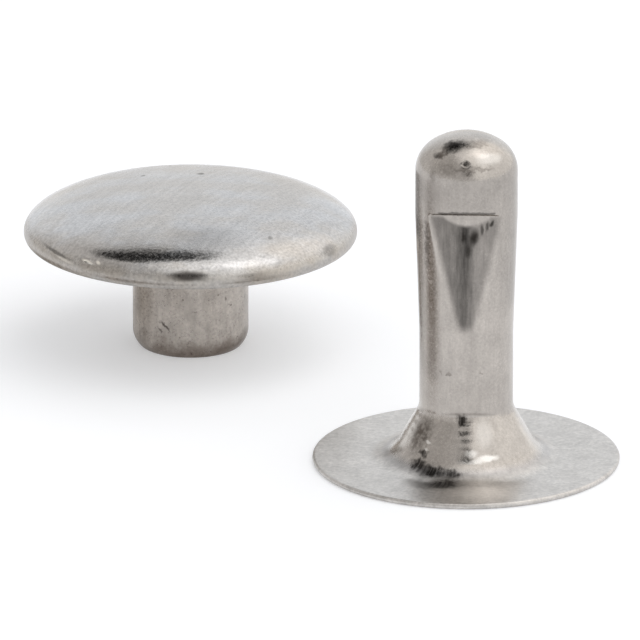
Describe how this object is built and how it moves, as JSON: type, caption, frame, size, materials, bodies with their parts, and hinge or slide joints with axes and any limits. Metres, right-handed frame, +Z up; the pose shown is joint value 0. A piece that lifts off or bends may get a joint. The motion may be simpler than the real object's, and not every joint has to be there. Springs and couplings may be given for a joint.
{
  "type": "snap rivet",
  "caption": "Snap rivet for leather and cloth: a hollow pinched post on a thin round base, and a domed cap with a rolled-in socket tube, standing apart.",
  "frame": {"origin": "middle of the pair's footprint, on the surface that both pieces stand on", "axes": "+Z up along the post and the cap, +Y from the post back to the cap, the viewer at -Y"},
  "size_m": [0.0168, 0.0194, 0.0097],
  "materials": {
    "post": "bright nickel plate, slightly warm, with a fine grain",
    "cap_shell": "satin nickel plate, mottled and finely speckled, glossier round the rim",
    "cap_socket": "nickel plate with faint drawing lines along the tube"
  },
  "bodies": {
    "root": {"post": "post", "cap_shell": "cap_shell", "cap_socket": "cap_socket"}
  },
  "joints": []
}
